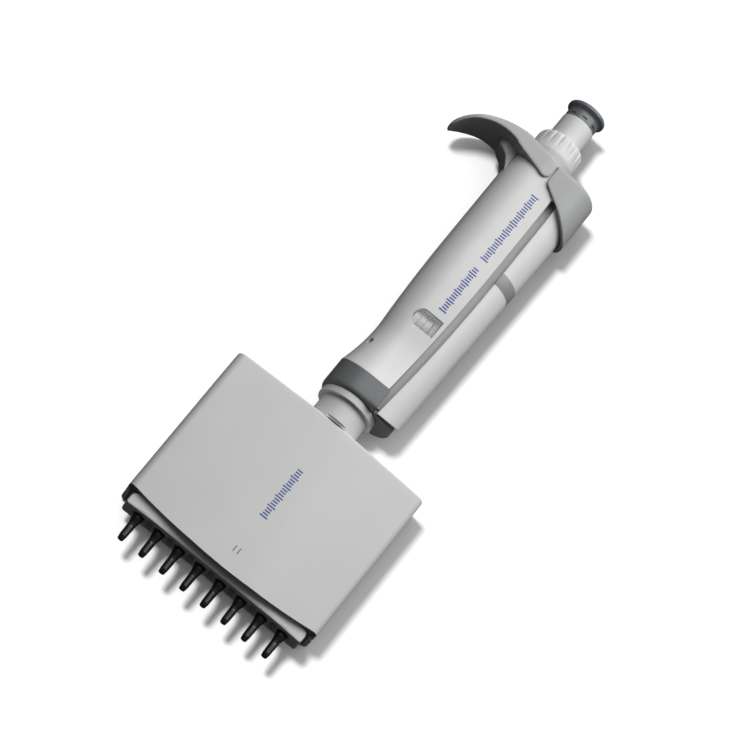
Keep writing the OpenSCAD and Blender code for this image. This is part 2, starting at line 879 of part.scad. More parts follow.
module panel_form(r, low, high, shift) {
    intersection() {
        lean_rod(r, low, high);
        face_extrude(-20, 20) beside_seam(1, panel_edge + shift);
    }
}

module ejector_panel() {
    color(light_shell) lie_down() {
        difference() {
            intersection() {
                panel_form(panel_r, panel_low, panel_high, 0);
                above_slope(panel_side_low, panel_fall);
            }
            lean_rod(panel_r - panel_wall, panel_low - 1, panel_high + 1);
            // Seat of the inlay
            difference() {
                lean_rod(panel_r + 1, inlay_low, inlay_high);
                lean_rod(panel_r - 0.6, inlay_low - 1, inlay_high + 1);
            }
        }
        // Lug that the return spring pushes on
        block([lug_x, -lug_half_y, lug_low], [panel_x(lug_low) + panel_r - 0.8, lug_half_y, lug_high]);
    }
}

module ejector_inlay() {
    color(mid_grey) lie_down() difference() {
        panel_form(panel_r, inlay_low + 0.05, inlay_high - 0.05, 0.02);
        lean_rod(panel_r - 0.6, inlay_low - 1, inlay_high + 1);
    }
}

module ejector_foot() {
    color(dark_grey) lie_down() difference() {
        intersection() {
            lean_rod(panel_r - panel_wall - fit, foot_low, panel_side_low + 8);
            block([8, -far, 0], [far, far, far]);
        }
        rod(neck_r + 0.4, 0, far);
        above_slope(panel_side_low + 1, panel_fall);
    }
}

module thumb_outline() {
    translate([thumb_centre_x, 0]) circle(r = band_r, $fn = 96);
    translate([thumb_x, -band_r]) square([thumb_centre_x - thumb_x, 2 * band_r]);
}

module ejector_thumb_piece() {
    color(mid_grey) lie_down() difference() {
        intersection() {
            linear_extrude(thumb_top) thumb_outline();
            face_extrude(-20, 20)
                polygon([[thumb_x, thumb_top], [thumb_x, thumb_low_left],
                         [thumb_far_x, thumb_low_right], [far, thumb_low_right], [far, thumb_top]]);
        }
        // Room for the handle shell under the front and back skins
        block([0, -(handle_r_top + 0.35), 0], [seam_top_x + 0.6, handle_r_top + 0.35, far]);
        // Room for the rail and the panel below the top
        translate([0, 0, -1]) linear_extrude(thumb_top - plate_thick + 1)
            translate([panel_top_x, 0]) circle(r = panel_r + 0.2, $fn = 72);
        block([seam_top_x, -(handle_r_top + 0.35), 0],
              [thumb_centre_x + 1, handle_r_top + 0.35, thumb_top - plate_thick]);
        rod(boss_r + 0.4, 0, far);
    }
}

housing_front_cover();
housing_back_cover();
base_plate();
cylinder_head();
seal_retainer();
piston_seals();
guide_rods();
frame_plate();
swivel_neck();
snap_ring();
housing_screws();
cone_springs();
tip_cone(0);  // tip_cone_1
tip_cone(1);  // tip_cone_2
tip_cone(2);  // tip_cone_3
tip_cone(3);  // tip_cone_4
tip_cone(4);  // tip_cone_5
tip_cone(5);  // tip_cone_6
tip_cone(6);  // tip_cone_7
tip_cone(7);  // tip_cone_8
piston_beam();
pistons();
piston_clamp_plate();
lower_push_rod();
ejector_bar();
ejector_rods();
ejector_yoke();
transfer_ring();
handle_shell();
handle_collar();
ejector_rail();
finger_hook();
display_lens();
index_strip();
adjustment_plug();
mechanism_sleeve();
spring_seat();
counter_frame();
counter_axle();
counter_shaft();
digit_wheel(0);  // digit_wheel_tens
digit_wheel(1);  // digit_wheel_units
digit_wheel(2);  // digit_wheel_tenths
main_spring();
ejector_spring();
volume_ring();
lead_screw();
volume_nut();
button_cap();
button_stem();
upper_push_rod();
ejector_thumb_piece();
ejector_panel();
ejector_inlay();
ejector_foot();
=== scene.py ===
"""Looks of the eight-channel pipette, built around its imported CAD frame.

Points are given in millimetres as (x, u, f): x across the channels, u up the long axis from the
cone tips, f out of the front face from the long axis. row_point() takes them to the row frame.
"""

import math

import bmesh
import bpy
from mathutils import Matrix, Vector


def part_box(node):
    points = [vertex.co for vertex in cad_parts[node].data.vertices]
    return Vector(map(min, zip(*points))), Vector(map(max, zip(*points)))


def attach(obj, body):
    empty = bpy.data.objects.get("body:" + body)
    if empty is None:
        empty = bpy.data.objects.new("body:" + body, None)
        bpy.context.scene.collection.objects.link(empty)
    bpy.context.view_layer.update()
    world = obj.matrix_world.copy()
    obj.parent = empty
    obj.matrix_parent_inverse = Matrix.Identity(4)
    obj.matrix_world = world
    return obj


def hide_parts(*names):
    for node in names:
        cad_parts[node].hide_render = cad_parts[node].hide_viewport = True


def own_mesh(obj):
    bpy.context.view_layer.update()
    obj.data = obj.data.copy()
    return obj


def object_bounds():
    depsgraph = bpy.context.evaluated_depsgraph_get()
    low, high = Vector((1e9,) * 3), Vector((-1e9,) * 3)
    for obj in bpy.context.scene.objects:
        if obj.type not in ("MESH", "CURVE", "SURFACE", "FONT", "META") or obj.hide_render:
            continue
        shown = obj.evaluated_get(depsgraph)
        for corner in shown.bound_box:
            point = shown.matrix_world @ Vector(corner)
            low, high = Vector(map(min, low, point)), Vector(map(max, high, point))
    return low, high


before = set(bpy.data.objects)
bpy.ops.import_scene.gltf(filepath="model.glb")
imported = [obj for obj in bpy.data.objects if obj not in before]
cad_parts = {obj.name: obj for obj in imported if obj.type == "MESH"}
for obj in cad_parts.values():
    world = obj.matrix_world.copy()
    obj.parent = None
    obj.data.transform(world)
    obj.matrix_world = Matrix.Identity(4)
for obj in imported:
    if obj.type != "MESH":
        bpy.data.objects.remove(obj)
cad_low, cad_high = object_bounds()

MM = 0.001
LOW_END = cad_low.y / MM  # the cone tips
RING_LOW, RING_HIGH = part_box("volume_ring")
AXIS_F = (RING_LOW.z + RING_HIGH.z) / 2 / MM  # height of the long axis above the floor

# ---------------------------------------------------------------- sizes, in millimetres

HOUSING_HALF = 41.0
HOUSING_TOP = 79.5
HOUSING_LOW = 16.0
HOUSING_FRONT = 9.0
CROWN_R, CROWN_SHARE = 242.0, 0.15  # the share of the fall that is round, the rest is in the flanks
CORNER_R = 3.0
BACK_F = -12.5
PARTING_F = -2.0
PARTING_GAP = 0.02
WALL = 1.6
APRON_DROP = 3.4
APRON_R = 203.0
CREASE_TOP = 4.6  # half width of the middle facet at the top of the housing
CREASE_LOW = 12.9  # and at its lower edge
SCREW_X = 27.0
SCREW_LEVELS = (31.5, 60.3)
SPIGOT_R = 4.7

BAR_HALF = 38.2
BAR_LOW, BAR_HIGH = 10.6, 15.9
BAR_HALF_F = 5.5
BAR_RIB, TROUGH_HALF_F = 3.2, 3.6
CHANNELS = 8
PITCH = 9.0

HANDLE_LOW, HANDLE_HIGH = 100.0, 206.9
WAIST_U, FULL_U = 119.5, 165.0
R_FOOT, R_WAIST, R_TOP = 12.4, 9.9, 11.25
SHELL_WALL = 1.7
SEAM_TOP, SEAM_BEND, SEAM_OVER = 9.6, 160.0, 38.0
COLLAR_LEFT, COLLAR_FRONT = 103.3, 100.6  # levels of the collar's upper edge
COLLAR_CUT = 7.7  # the collar is open to the right of this
NECK_R = 9.5
WINDOW = (-3.0, 7.2, 130.0, 7.0)  # left, right, middle level, height

PANEL_R, PANEL_WALL, PANEL_EDGE = 10.2, 1.6, 2.7
PANEL_X, PANEL_REF, PANEL_LEAN = 11.1, 190.0, 1.35
PANEL_LOW, PANEL_SIDE_LOW, PANEL_HIGH = 91.4, 95.6, 196.0
PANEL_FALL = (PANEL_SIDE_LOW - PANEL_LOW) / PANEL_R
INLAY = (158.0, 163.4)
FOOT_LOW, FOOT_HIGH, FOOT_LEFT = 91.3, 96.5, 8.0

BAND_R, BOSS_R, BOSS_TOP = 12.5, 10.2, 212.9
HOOK_TIP_X, HOOK_TIP_R = -26.9, 9.0
THUMB_SPLIT, THUMB_X, THUMB_TOP = 3.8, 10.8, 209.0
JOURNAL_R = 8.45
RING_R, SKIRT_LOW, DOME_LOW, RING_TOP = 9.4, 213.1, 219.4, 222.0
FLUTES, FLUTE_DEPTH = 18, 0.4
RIM_LOW, NOTCHES = 231.5, 8
SPRING_WIRE = {"main_spring": 0.4, "ejector_spring": 0.25, "cone_springs": 0.25}
DASH_PITCH, DASH_THICK = 1.12, 0.56
BEYOND = 60.0  # further out than any outline a cutter has to clear
VOXEL = 0.26


def row_point(x, u, f):
    """A point in the row frame, in metres."""
    return Vector((x, u + LOW_END, f + AXIS_F)) * MM


# ---------------------------------------------------------------- mesh tools


def link(name, mesh):
    """New object of a mesh, in the scene."""
    obj = bpy.data.objects.new(name, mesh)
    bpy.context.scene.collection.objects.link(obj)
    return obj


def solid(name, points, faces):
    """Mesh object from (x, u, f) points, with doubled points merged and its faces turned outwards."""
    mesh = bpy.data.meshes.new(name)
    mesh.from_pydata([row_point(*p) for p in points], [], faces)
    bm = bmesh.new()
    bm.from_mesh(mesh)
    bmesh.ops.remove_doubles(bm, verts=bm.verts, dist=2e-6)
    bmesh.ops.dissolve_degenerate(bm, edges=bm.edges, dist=1e-7)
    bmesh.ops.recalc_face_normals(bm, faces=bm.faces)
    bm.to_mesh(mesh)
    bm.free()
    return link(name, mesh)


def loft(name, rows, capped=True):
    """Joins closed loops of equal length; without caps the last loop joins the first."""
    n = len(rows[0])
    points = [p for row in rows for p in row]
    count = len(rows)
    faces = []
    for k in range(count - 1 if capped else count):
        a, b = k * n, (k + 1) % count * n
        faces += [(a + i, a + (i + 1) % n, b + (i + 1) % n, b + i) for i in range(n)]
    if capped:
        faces += [tuple(range(n)), tuple((count - 1) * n + i for i in range(n))]
    return solid(name, points, faces)


def arc(cx, cy, r, start, end, steps):
    """Points on an arc, angles in degrees."""
    return [(cx + r * math.cos(a), cy + r * math.sin(a)) for a in angles(start, end, steps)]


def circle(cx, cy, r, steps=48):
    """Closed loop of a circle, anticlockwise."""
    return arc(cx, cy, r, 0, 360, steps)[:-1]


def rectangle(x0, y0, x1, y1):
    """Anticlockwise loop of a rectangle from its low and high corners."""
    return [(x0, y0), (x1, y0), (x1, y1), (x0, y1)]


def angles(start, end, steps):
    """Evenly spaced angles in radians, from degrees."""
    return [math.radians(start + (end - start) * k / steps) for k in range(steps + 1)]


def rounded(corners, steps=5):
    """2D loop from (x, y, radius) corners, each rounded by its radius."""
    out = []
    for i, (x, y, r) in enumerate(corners):
        corner = Vector((x, y))
        before = Vector(corners[i - 1][:2]) - corner
        after = Vector(corners[(i + 1) % len(corners)][:2]) - corner
        if r <= 0:
            out.append((x, y))
            continue
        half = before.angle(after) / 2
        reach = r / math.tan(half)
        start, end = corner + before.normalized() * reach, corner + after.normalized() * reach
        centre = corner + (before.normalized() + after.normalized()).normalized() * (
            r / math.sin(half)
        )
        for k in range(steps + 1):
            chord = start.lerp(end, k / steps) - centre
            spot = centre + chord.normalized() * r
            out.append((spot.x, spot.y))
    return out


def inset(loop, d):
    """Moves a closed anticlockwise 2D loop inwards by d."""
    out = []
    for i, (x, y) in enumerate(loop):
        (ax, ay), (bx, by) = loop[i - 1], loop[(i + 1) % len(loop)]
        tx, ty = bx - ax, by - ay
        length = math.hypot(tx, ty) or 1.0
        out.append((x - ty / length * d, y + tx / length * d))
    return out


def column(name, section, low, high, rows=1, round_low=0.0, round_high=0.0, warp=None, steps=4):
    """Closed body along u: section(u) is an anticlockwise (x, f) loop, and its ends may be rounded."""
    stations = []
    for k in range(steps if round_low else 0):
        a = math.radians(90 * k / steps)
        stations.append((low + round_low * (1 - math.cos(a)), round_low * (1 - math.sin(a))))
    start, end = low + round_low, high - round_high
    stations += [(start + (end - start) * k / rows, 0.0) for k in range(rows + 1)]
    for k in range(steps if round_high else 0):
        a = math.radians(90 * (k + 1) / steps)
        stations.append((end + round_high * math.sin(a), round_high * (1 - math.cos(a))))
    loops = []
    for u, d in stations:
        loop = section(u)
        loop = inset(loop, d) if d else loop
        loops.append([warp(x, u, f) if warp else (x, u, f) for x, f in loop])
    return loft(name, loops)


def slab(name, outline, back, front, edge=0.0, warp=None):
    """Closed body along f from an anticlockwise (x, u) outline, with rounded front and back edges."""
    stations = [(back, edge)]
    if edge:
        stations += [(back + edge * 0.3, edge * 0.3), (back + edge, 0.0)]
        stations += [(front - edge, 0.0), (front - edge * 0.3, edge * 0.3)]
    stations.append((front, edge))
    loops = []
    for f, d in stations:
        loop = inset(outline, d) if d else outline
        loops.append([warp(x, u, f) if warp else (x, u, f) for x, u in loop])
    return loft(name, loops)


def lathe(name, profile, steps=96, cx=0.0, solid_form=True, warp=None):
    """Turns a profile of (r, u) about the line x = cx; without solid_form the profile is closed."""
    rows = []
    for r, u in profile:
        row = []
        for k in range(steps):
            a = 2 * math.pi * k / steps
            rr, uu = warp(r, u, a) if warp else (r, u)
            row.append((cx + rr * math.cos(a), uu, rr * math.sin(a)))
        rows.append(row)
    return loft(name, rows, capped=solid_form)


def prism(name, loop, low, high):
    """Straight body along u with the given (x, f) outline."""
    return column(name, lambda u: loop, low, high)


def rod(name, r, low, high, steps=72, cx=0.0):
    """Straight round body along u."""
    return lathe(name, [(0, low), (r, low), (r, high), (0, high)], steps, cx)


def settle(obj):
    """Applies the object's modifiers to its mesh."""
    graph = bpy.context.evaluated_depsgraph_get()
    mesh = bpy.data.meshes.new_from_object(obj.evaluated_get(graph))
    obj.modifiers.clear()
    old, obj.data = obj.data, mesh
    bpy.data.meshes.remove(old)
    return obj


def combine(target, tools, how="DIFFERENCE"):
    """Exact boolean of the target with each tool; the tools are used up."""
    for tool in tools:
        cut = target.modifiers.new("cut", "BOOLEAN")
        cut.operation, cut.object, cut.solver = how, tool, "EXACT"
    settle(target)
    for tool in tools:
        bpy.data.objects.remove(tool)
    return target


def soften(obj, passes):
    """Turns joined solids into one moulded form with evenly rounded edges."""
    remesh = obj.modifiers.new("remesh", "REMESH")
    remesh.mode, remesh.voxel_size = "VOXEL", VOXEL * MM
    settle(obj)
    smooth = obj.modifiers.new("smooth", "SMOOTH")
    smooth.factor, smooth.iterations = 0.5, passes
    return settle(obj)


def tidy(obj):
    """Drops loose and zero-area leftovers of a cut and merges doubled points."""
    bm = bmesh.new()
    bm.from_mesh(obj.data)
    bmesh.ops.remove_doubles(bm, verts=bm.verts, dist=2e-6)
    bmesh.ops.dissolve_degenerate(bm, edges=bm.edges, dist=1e-6)
    bmesh.ops.delete(bm, geom=[v for v in bm.verts if not v.link_faces], context="VERTS")
    bm.to_mesh(obj.data)
    bm.free()


def keep_normals(obj):
    """Shades flat faces flat beside rounded edges."""
    obj.modifiers.new("normals", "WEIGHTED_NORMAL").keep_sharp = True


def dress(obj, body, material, replaced=(), sharp=38.0):
    """Shading, material, body and the CAD nodes a finished piece stands for."""
    tidy(obj)
    obj.data.polygons.foreach_set("use_smooth", [True] * len(obj.data.polygons))
    obj.data.set_sharp_from_angle(angle=math.radians(sharp))
    keep_normals(obj)
    obj.data.materials.clear()
    obj.data.materials.append(material)
    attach(obj, body)
    if replaced:
        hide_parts(*replaced)
    return obj


# ---------------------------------------------------------------- materials


def shader(name):
    """New node material with its tree and its shader node."""
    material = bpy.data.materials.new(name)
    material.use_nodes = True
    nodes, links = material.node_tree.nodes, material.node_tree.links
    return material, nodes, links, nodes["Principled BSDF"]


def noise(nodes, links, coords, scale, detail=3.0):
    """Noise over the object, from 0 to 1; scale is in cycles a metre."""
    node = nodes.new("ShaderNodeTexNoise")
    node.inputs["Scale"].default_value = scale
    node.inputs["Detail"].default_value = detail
    links.new(coords, node.inputs["Vector"])
    return node.outputs["Fac"]


def ramp(nodes, links, value, low, high, spread=0.18):
    """Colour that wanders between two tones as value goes through its middle."""
    node = nodes.new("ShaderNodeValToRGB")
    node.color_ramp.elements[0].position = 0.5 - spread
    node.color_ramp.elements[1].position = 0.5 + spread
    node.color_ramp.elements[0].color = (*low, 1)
    node.color_ramp.elements[1].color = (*high, 1)
    links.new(value, node.inputs["Fac"])
    return node.outputs["Color"]


def spread_value(nodes, links, value, low, high):
    """Takes the middle of a noise to the range from low to high."""
    node = nodes.new("ShaderNodeMapRange")
    node.inputs["From Min"].default_value = 0.3
    node.inputs["From Max"].default_value = 0.7
    node.inputs["To Min"].default_value = low
    node.inputs["To Max"].default_value = high
    links.new(value, node.inputs["Value"])
    return node.outputs["Result"]


def bump(nodes, links, target, height, strength, distance, under=None):
    """Relief from a height, laid over another relief where under is given."""
    node = nodes.new("ShaderNodeBump")
    node.inputs["Strength"].default_value = strength
    node.inputs["Distance"].default_value = distance
    links.new(height, node.inputs["Height"])
    if under:
        links.new(under, node.inputs["Normal"])
    if target:
        links.new(node.outputs["Normal"], target)
    return node.outputs["Normal"]


def tone(level, tint=(1.0, 1.0, 1.0)):
    """Linear colour from a 0-255 grey level and a tint."""
    base = (level / 255) ** 2.2
    return tuple(min(1.0, base * t) for t in tint)


def moulded(name, level, tint, rough, grain=2600.0, coat=0.0, wear=0.05):
    """Injection-moulded plastic: faint flow tone, fine sparked texture, rubbed edges, uneven gloss."""
    material, nodes, links, bsdf = shader(name)
    coords = nodes.new("ShaderNodeTexCoord").outputs["Object"]
    flow = noise(nodes, links, coords, 38.0, 2.0)
    fine = noise(nodes, links, coords, grain, 4.0)
    body = ramp(nodes, links, flow, tone(level * 0.992, tint), tone(level * 1.006, tint))
    rubbed = nodes.new("ShaderNodeMapRange")
    rubbed.inputs["From Min"].default_value = 0.52
    rubbed.inputs["From Max"].default_value = 0.62
    rubbed.inputs["To Max"].default_value = wear
    links.new(nodes.new("ShaderNodeNewGeometry").outputs["Pointiness"], rubbed.inputs["Value"])
    mix = nodes.new("ShaderNodeMix")
    mix.data_type = "RGBA"
    links.new(rubbed.outputs["Result"], mix.inputs["Factor"])
    links.new(body, mix.inputs["A"])
    mix.inputs["B"].default_value = (*tone(min(255, level * 1.3), tint), 1)
    links.new(mix.outputs["Result"], bsdf.inputs["Base Color"])
    handled = noise(nodes, links, coords, 120.0, 5.0)
    links.new(spread_value(nodes, links, handled, rough - 0.04, rough + 0.05), bsdf.inputs["Roughness"])
    waves = bump(nodes, links, None, flow, 0.05, 0.0004)
    bump(nodes, links, bsdf.inputs["Normal"], fine, 0.12, 0.00006, waves)
    bsdf.inputs["IOR"].default_value = 1.5
    bsdf.inputs["Coat Weight"].default_value = coat
    bsdf.inputs["Coat Roughness"].default_value = 0.12
    return material


def metal(name, level, rough, stretch):
    """Drawn or ground steel: streaks along the working direction."""
    material, nodes, links, bsdf = shader(name)
    coords = nodes.new("ShaderNodeTexCoord").outputs["Object"]
    mapping = nodes.new("ShaderNodeMapping")
    mapping.inputs["Scale"].default_value = stretch
    links.new(coords, mapping.inputs["Vector"])
    streaks = noise(nodes, links, mapping.outputs["Vector"], 900.0, 3.0)
    colour = ramp(nodes, links, streaks, tone(level * 0.9), tone(level * 1.05))
    links.new(colour, bsdf.inputs["Base Color"])
    links.new(spread_value(nodes, links, streaks, rough - 0.06, rough + 0.08), bsdf.inputs["Roughness"])
    bump(nodes, links, bsdf.inputs["Normal"], streaks, 0.2, 0.00003)
    bsdf.inputs["Metallic"].default_value = 1.0
    return material


def rubber(name):
    """Dark matt rubber with a fine grain."""
    material, nodes, links, bsdf = shader(name)
    coords = nodes.new("ShaderNodeTexCoord").outputs["Object"]
    grain = noise(nodes, links, coords, 1800.0, 4.0)
    links.new(ramp(nodes, links, grain, tone(30), tone(44)), bsdf.inputs["Base Color"])
    links.new(spread_value(nodes, links, grain, 0.62, 0.8), bsdf.inputs["Roughness"])
    bump(nodes, links, bsdf.inputs["Normal"], grain, 0.3, 0.00008)
    return material


def clear_plastic(name):
    """Clear window plastic, faintly wavy."""
    material, nodes, links, bsdf = shader(name)
    coords = nodes.new("ShaderNodeTexCoord").outputs["Object"]
    waves = noise(nodes, links, coords, 260.0, 2.0)
    links.new(ramp(nodes, links, waves, (0.93, 0.96, 0.97), (1.0, 1.0, 1.0)), bsdf.inputs["Base Color"])
    links.new(spread_value(nodes, links, waves, 0.02, 0.06), bsdf.inputs["Roughness"])
    bump(nodes, links, bsdf.inputs["Normal"], waves, 0.04, 0.0001)
    bsdf.inputs["Alpha"].default_value = 0.2
    bsdf.inputs["IOR"].default_value = 1.49
    return material


def ink(name, colour):
    """Pad-printed ink with slightly uneven cover."""
    material, nodes, links, bsdf = shader(name)
    coords = nodes.new("ShaderNodeTexCoord").outputs["Object"]
    cover = noise(nodes, links, coords, 1500.0, 3.0)
    paler = tuple(c + 0.10 for c in colour)
    links.new(ramp(nodes, links, cover, colour, paler, 0.3), bsdf.inputs["Base Color"])
    links.new(spread_value(nodes, links, cover, 0.45, 0.6), bsdf.inputs["Roughness"])
    return material


SHELL = moulded("shell_plastic", 226, (1.0, 1.0, 0.992), 0.36)
HOUSING = moulded("housing_plastic", 218, (1.0, 1.0, 0.995), 0.40)
PALE = moulded("pale_plastic", 214, (1.0, 1.0, 0.99), 0.34)
MID = moulded("mid_grey_plastic", 168, (0.985, 0.995, 1.0), 0.40, coat=0.05)
HOOK = moulded("hook_plastic", 182, (0.99, 1.0, 0.99), 0.42)
DARK = moulded("dark_grey_plastic", 118, (0.95, 1.0, 1.02), 0.38)
INLAY_GREY = moulded("inlay_plastic", 148, (0.97, 1.0, 1.02), 0.36)
CAP_GREY = moulded("button_plastic", 112, (0.93, 1.0, 1.07), 0.28, coat=0.2)
BLACK = moulded("black_plastic", 34, (0.95, 1.0, 1.03), 0.24, grain=3400.0, coat=0.5, wear=0.02)
STEEL = metal("ground_steel", 200, 0.28, (1.0, 0.06, 1.0))
SPRING = metal("spring_wire", 170, 0.32, (1.0, 1.0, 1.0))
RUBBER = rubber("seal_rubber")
CLEAR = clear_plastic("clear_plastic")
BLUE_INK = ink("blue_ink", (0.028, 0.070, 0.36))
GREY_INK = ink("grey_ink", (0.20, 0.20, 0.20))

# ---------------------------------------------------------------- camera, light and floor

PITCH_DOWN = math.radians(23.0)  # how far the camera stands towards the cones
ROLL = math.radians(50.7)  # the long axis in the picture, above the horizontal
DISTANCE = 1.6
PIXELS_PER_MM = 2.87
IMAGE_PIXELS = 750.0
GLOW_TOWARDS = Vector((0.20, 0.85, 0.48))  # the room's brightest side
GLOW_RANGE = (0.035, 0.30)  # strength of its light from the darkest side and from the brightest
AIM = row_point(0.2, 106.5, 0.0)


def make_camera():
    """Camera over the front, a little towards the cones, rolled so that the pipette lies aslant."""
    data = bpy.data.cameras.new("camera")
    data.sensor_width = 36.0
    data.lens = data.sensor_width * PIXELS_PER_MM * DISTANCE / MM / IMAGE_PIXELS
    data.clip_start, data.clip_end = 0.05, 20.0
    towards = Vector((0, -math.sin(PITCH_DOWN), math.cos(PITCH_DOWN)))
    across = Vector((1, 0, 0))
    along = Vector((0, math.cos(PITCH_DOWN), math.sin(PITCH_DOWN)))
    right = along * math.cos(ROLL) + across * math.sin(ROLL)
    up = along * math.sin(ROLL) - across * math.cos(ROLL)
    turn = Matrix((right, up, towards)).transposed().to_4x4()
    camera = bpy.data.objects.new("camera", data)
    camera.matrix_world = Matrix.Translation(AIM + towards * DISTANCE) @ turn
    bpy.context.scene.collection.objects.link(camera)
    bpy.context.scene.camera = camera


def lamp_object(name, data, heading, receivers):
    """Lamp that shines along heading, and only on its receivers."""
    lamp = bpy.data.objects.new(name, data)
    lamp.rotation_mode = "QUATERNION"
    lamp.rotation_quaternion = heading.to_track_quat("-Z", "Y")
    lamp.light_linking.receiver_collection = receivers
    bpy.context.scene.collection.objects.link(lamp)
    return lamp


def softbox(name, place, size, power, receivers):
    """Square area light that looks at the middle of the row frame."""
    data = bpy.data.lights.new(name, "AREA")
    data.energy, data.size = power, size
    lamp_object(name, data, -Vector(place), receivers).location = place


def sun_light(name, heading, power, spread, receivers):
    """Distant light along heading; spread is its width in degrees."""
    data = bpy.data.lights.new(name, "SUN")
    data.energy, data.angle = power, math.radians(spread)
    lamp_object(name, data, Vector(heading), receivers)


def make_floor():
    """Pale matt table top with a faint unevenness."""
    mesh = bpy.data.meshes.new("floor")
    half, cells = 2.5, 10
    edge = [-half + 2 * half * k / cells for k in range(cells + 1)]
    row = cells + 1
    starts = [j * row + i for j in range(cells) for i in range(cells)]
    faces = [(k, k + 1, k + row + 1, k + row) for k in starts]
    mesh.from_pydata([(x, y, 0.0) for y in edge for x in edge], [], faces)
    floor = link("floor", mesh)
    material, nodes, links, bsdf = shader("table_white")
    coords = nodes.new("ShaderNodeTexCoord").outputs["Object"]
    cloud = noise(nodes, links, coords, 6.0, 2.0)
    colour = ramp(nodes, links, cloud, (0.84, 0.84, 0.84), (0.86, 0.86, 0.86))
    links.new(colour, bsdf.inputs["Base Color"])
    bsdf.inputs["Roughness"].default_value = 0.85
    bsdf.inputs["Specular IOR Level"].default_value = 0.15
    mesh.materials.append(material)
    # The table throws no light back, so undersides stay dark
    floor.visible_diffuse = floor.visible_glossy = False
    return floor


def room_glow(world):
    """Pale room that is brighter above and towards the button end, and dimmer towards the cones."""
    nodes, links = world.node_tree.nodes, world.node_tree.links
    glow = nodes.new("ShaderNodeVectorMath")
    glow.operation = "DOT_PRODUCT"
    glow.inputs[1].default_value = GLOW_TOWARDS.normalized()
    links.new(nodes.new("ShaderNodeTexCoord").outputs["Generated"], glow.inputs[0])
    level = nodes.new("ShaderNodeMapRange")
    level.inputs["To Min"].default_value, level.inputs["To Max"].default_value = GLOW_RANGE
    links.new(glow.outputs["Value"], level.inputs["Value"])
    nodes["Background"].inputs["Color"].default_value = (1.0, 1.0, 1.0, 1.0)
    links.new(level.outputs["Result"], nodes["Background"].inputs["Strength"])


def make_light(floor):
    """Two softboxes for the pipette, two suns for the table and its shadow, and a pale room."""
    scene = bpy.context.scene
    scene.view_settings.view_transform = "Standard"
    world = bpy.data.worlds.new("room")
    scene.world = world
    world.use_nodes = True
    room_glow(world)
    table = bpy.data.collections.new("table_only")
    table.objects.link(floor)
    sun_light("table_key", (0.42, -0.03, -1.0), 2.9, 11, table)
    sun_light("table_fill", (0.05, 0.05, -1.0), 1.2, 100, table)
    others = bpy.data.collections.new("not_the_table")
    others.objects.link(floor)
    others.collection_objects[0].light_linking.link_state = "EXCLUDE"
    softbox("softbox_right", (0.48, 0.82, 0.62), 1.0, 9.9, others)
    softbox("softbox_above", (-0.15, 0.62, 0.95), 0.9, 5.2, others)


make_camera()
make_light(make_floor())

# ---------------------------------------------------------------- lower housing


def crease_x(u):
    """Half width of the middle facet of the front at this level."""
    share = (HOUSING_TOP - u) / (HOUSING_TOP - (HOUSING_LOW - APRON_DROP))
    return CREASE_TOP + (CREASE_LOW - CREASE_TOP) * share


def crown(x, u):
    """Height of the housing's front: slightly crowned, with flanks that fall away past a crease."""
    corner_x = HOUSING_HALF - CORNER_R
    total = CROWN_R - math.sqrt(CROWN_R**2 - corner_x**2)
    drop = CROWN_R - math.sqrt(CROWN_R**2 - min(abs(x), corner_x) ** 2)
    flank = max(0.0, min(abs(x), corner_x) - crease_x(u)) / (corner_x - crease_x(u))
    return HOUSING_FRONT - CROWN_SHARE * drop - (1 - CROWN_SHARE) * total * flank


def housing_section(depth):
    """Section function of the housing outline, moved in by depth."""

    def section(u):
        corner_x = HOUSING_HALF - CORNER_R
        r = CORNER_R - depth
        corner_f = crown(corner_x, u) - CORNER_R
        mid = crease_x(u)
        flank = (corner_x - mid) / 9
        xs = [corner_x - flank * k for k in range(1, 10)]
        xs += [mid - 2 * mid * k / 7 for k in range(1, 8)]
        xs += [-mid - flank * k for k in range(1, 9)]
        loop = arc(corner_x, BACK_F + CORNER_R, r, 270, 360, 6)
        loop += arc(corner_x, corner_f, r, 0, 88, 6)
        loop += [(x, crown(x, u) - depth) for x in xs]
        loop += arc(-corner_x, corner_f, r, 92, 180, 6)
        loop += arc(-corner_x, BACK_F + CORNER_R, r, 180, 270, 6)
        return loop

    return section


def apron_cutter():
    """Everything below the front cover's lower edge, which sags in one long arc."""
    centre_u = HOUSING_LOW - APRON_DROP + APRON_R
    xs = [BEYOND - 2 * BEYOND * k / 60 for k in range(61)]
    edge = [(x, centre_u - math.sqrt(APRON_R**2 - x**2)) for x in xs]
    return slab("apron", [(-BEYOND, 0), (BEYOND, 0)] + edge, -20, 20)


def screw_pocket(x, u):
    """Round pocket in the back cover around a screw head."""
    profile = [(1.3, 4.5), (1.3, 1.0), (2.45, 1.0), (2.45, 0.3), (3.2, -0.45)]
    rows = [[(px, pu, BACK_F + d) for px, pu in circle(x, u, r, 32)] for r, d in profile]
    return loft("pocket", rows)


